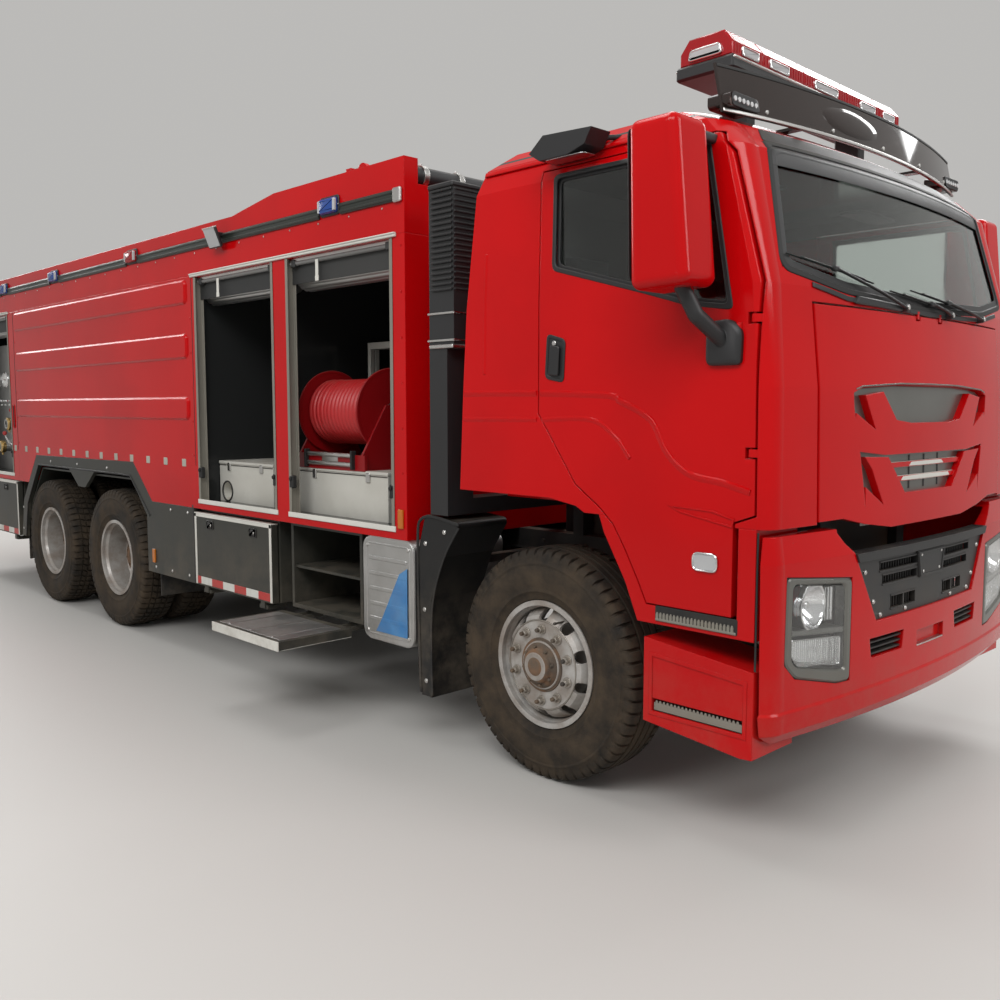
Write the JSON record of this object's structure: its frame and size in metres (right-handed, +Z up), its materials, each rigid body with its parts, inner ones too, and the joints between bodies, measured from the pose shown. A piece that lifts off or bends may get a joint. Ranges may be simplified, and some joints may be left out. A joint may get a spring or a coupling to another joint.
{
  "type": "fire truck",
  "caption": "Forward-cab fire truck with twin rear axles, side equipment bays, hose reel, roof monitor, steering front wheels, hinged doors and fold-down flaps.",
  "frame": {"origin": "on the ground under the middle of the truck's length and width", "axes": "+X towards the cab, +Y to the truck's left, +Z up"},
  "size_m": [9.75, 3.47, 3.3819],
  "materials": {
    "red_paint": "gloss",
    "dark_grey_paint": "satin",
    "frame_black": "satin",
    "cast_grey": "rough",
    "aluminium": "brushed",
    "black_plastic": "matte",
    "lamp_lens": "clear",
    "red_lens": "gloss",
    "tyre_rubber": "dusty",
    "rim_paint": "satin",
    "clear_glass": "clear",
    "smoked_visor": "gloss",
    "cab_trim": "matte",
    "hose_red": "satin"
  },
  "bodies": {
    "chassis": {"chassis_frame": "frame_black", "front_axle": "cast_grey", "rear_axles": "cast_grey", "engine_block": "cast_grey", "side_tanks": "aluminium", "cab_steps": "red_paint", "skirts": "dark_grey_paint", "locker_boxes": "dark_grey_paint", "bumper": "red_paint", "bumper_grille": "black_plastic", "headlamps": "lamp_lens", "front_body": "red_paint", "tank_section": "red_paint", "pump_body": "red_paint", "side_boards": "red_paint", "roof_deck": "aluminium", "roller_shutters": "aluminium", "racking": "aluminium", "reel_frame": "red_paint", "pump_panel": "aluminium", "air_intake": "black_plastic", "body_lamps": "red_lens", "rear_steps": "red_paint", "monitor_riser": "red_paint", "cab_shell": "red_paint", "cab_wings": "red_paint", "cab_glass": "clear_glass", "sun_visor": "smoked_visor", "kerb_mirror": "black_plastic", "light_bar": "red_lens", "cab_interior": "cab_trim"},
    "knuckle_right": {"knuckle_right": "cast_grey"},
    "front_wheel_right": {"front_rim_right": "rim_paint", "front_tyre_right": "tyre_rubber"},
    "rear_wheels_1_right": {"rear_rims_1_right": "rim_paint", "rear_tyres_1_right": "tyre_rubber"},
    "rear_wheels_2_right": {"rear_rims_2_right": "rim_paint", "rear_tyres_2_right": "tyre_rubber"},
    "door_right": {"door_right": "red_paint", "door_glass_right": "clear_glass"},
    "flap_front_right": {"flap_front_right": "dark_grey_paint"},
    "flap_middle_right": {"flap_middle_right": "dark_grey_paint"},
    "flap_rear_right": {"flap_rear_right": "dark_grey_paint"},
    "knuckle_left": {"knuckle_left": "cast_grey"},
    "front_wheel_left": {"front_rim_left": "rim_paint", "front_tyre_left": "tyre_rubber"},
    "rear_wheels_1_left": {"rear_rims_1_left": "rim_paint", "rear_tyres_1_left": "tyre_rubber"},
    "rear_wheels_2_left": {"rear_rims_2_left": "rim_paint", "rear_tyres_2_left": "tyre_rubber"},
    "door_left": {"door_left": "red_paint", "door_glass_left": "clear_glass"},
    "flap_front_left": {"flap_front_left": "dark_grey_paint"},
    "flap_middle_left": {"flap_middle_left": "dark_grey_paint"},
    "flap_rear_left": {"flap_rear_left": "dark_grey_paint"},
    "front_panel": {"front_panel": "red_paint"},
    "hose_reel": {"hose_reel": "red_paint", "reel_hose": "hose_red"},
    "monitor_swivel": {"monitor_swivel": "red_paint"},
    "monitor_barrel": {"monitor_barrel": "red_paint"}
  },
  "joints": [
    {"name": "steer_right", "type": "hinge", "parent": "chassis", "child": "knuckle_right", "pos_m": [3.575, -0.87, 0.5425], "axis": [0, 0, 1], "range_deg": [-35, 35]},
    {"name": "front_wheel_spin_right", "type": "hinge", "parent": "knuckle_right", "child": "front_wheel_right", "pos_m": [3.575, -1.03, 0.5425], "axis": [0, 1, 0], "continuous": true},
    {"name": "rear_wheels_spin_1_right", "type": "hinge", "parent": "chassis", "child": "rear_wheels_1_right", "pos_m": [-1.003, -0.9275, 0.5425], "axis": [0, 1, 0], "continuous": true},
    {"name": "rear_wheels_spin_2_right", "type": "hinge", "parent": "chassis", "child": "rear_wheels_2_right", "pos_m": [-2.363, -0.9275, 0.5425], "axis": [0, 1, 0], "continuous": true},
    {"name": "door_hinge_right", "type": "hinge", "parent": "chassis", "child": "door_right", "pos_m": [4.69, -1.232, 1.4], "axis": [0, 0, 1], "range_deg": [0, 70]},
    {"name": "flap_hinge_front_right", "type": "hinge", "parent": "chassis", "child": "flap_front_right", "pos_m": [1.8675, -1.23, 0.48], "axis": [-1, 0, 0], "range_deg": [0, 90]},
    {"name": "flap_hinge_middle_right", "type": "hinge", "parent": "chassis", "child": "flap_middle_right", "pos_m": [0.87, -1.23, 0.48], "axis": [1, 0, 0], "range_deg": [0, 90]},
    {"name": "flap_hinge_rear_right", "type": "hinge", "parent": "chassis", "child": "flap_rear_right", "pos_m": [-3.885, -1.23, 0.48], "axis": [1, 0, 0], "range_deg": [0, 90]},
    {"name": "steer_left", "type": "hinge", "parent": "chassis", "child": "knuckle_left", "pos_m": [3.575, 0.87, 0.5425], "axis": [0, 0, 1], "range_deg": [-35, 35]},
    {"name": "front_wheel_spin_left", "type": "hinge", "parent": "knuckle_left", "child": "front_wheel_left", "pos_m": [3.575, 1.03, 0.5425], "axis": [0, 1, 0], "continuous": true},
    {"name": "rear_wheels_spin_1_left", "type": "hinge", "parent": "chassis", "child": "rear_wheels_1_left", "pos_m": [-1.003, 0.9275, 0.5425], "axis": [0, 1, 0], "continuous": true},
    {"name": "rear_wheels_spin_2_left", "type": "hinge", "parent": "chassis", "child": "rear_wheels_2_left", "pos_m": [-2.363, 0.9275, 0.5425], "axis": [0, 1, 0], "continuous": true},
    {"name": "door_hinge_left", "type": "hinge", "parent": "chassis", "child": "door_left", "pos_m": [4.69, 1.232, 1.4], "axis": [0, 0, -1], "range_deg": [0, 70]},
    {"name": "flap_hinge_front_left", "type": "hinge", "parent": "chassis", "child": "flap_front_left", "pos_m": [1.8675, 1.23, 0.48], "axis": [1, 0, 0], "range_deg": [0, 90]},
    {"name": "flap_hinge_middle_left", "type": "hinge", "parent": "chassis", "child": "flap_middle_left", "pos_m": [0.87, 1.23, 0.48], "axis": [-1, 0, 0], "range_deg": [0, 90]},
    {"name": "flap_hinge_rear_left", "type": "hinge", "parent": "chassis", "child": "flap_rear_left", "pos_m": [-3.885, 1.23, 0.48], "axis": [-1, 0, 0], "range_deg": [0, 90]},
    {"name": "front_panel_hinge", "type": "hinge", "parent": "chassis", "child": "front_panel", "pos_m": [4.801, 0, 2.112], "axis": [0, -1, 0], "range_deg": [0, 70]},
    {"name": "hose_reel_spin", "type": "hinge", "parent": "chassis", "child": "hose_reel", "pos_m": [1.805, -0.88, 1.7], "axis": [1, 0, 0], "continuous": true},
    {"name": "monitor_turn", "type": "hinge", "parent": "chassis", "child": "monitor_swivel", "pos_m": [1.055, -0.2, 3.12], "axis": [0, 0, 1], "continuous": true},
    {"name": "monitor_lift", "type": "hinge", "parent": "monitor_swivel", "child": "monitor_barrel", "pos_m": [1.055, -0.2, 3.33], "axis": [0, 1, 0], "range_deg": [-15, 75]}
  ],
  "couplings": [
    {"joint": "steer_right", "follows": "steer_left", "ratio": 1}
  ]
}
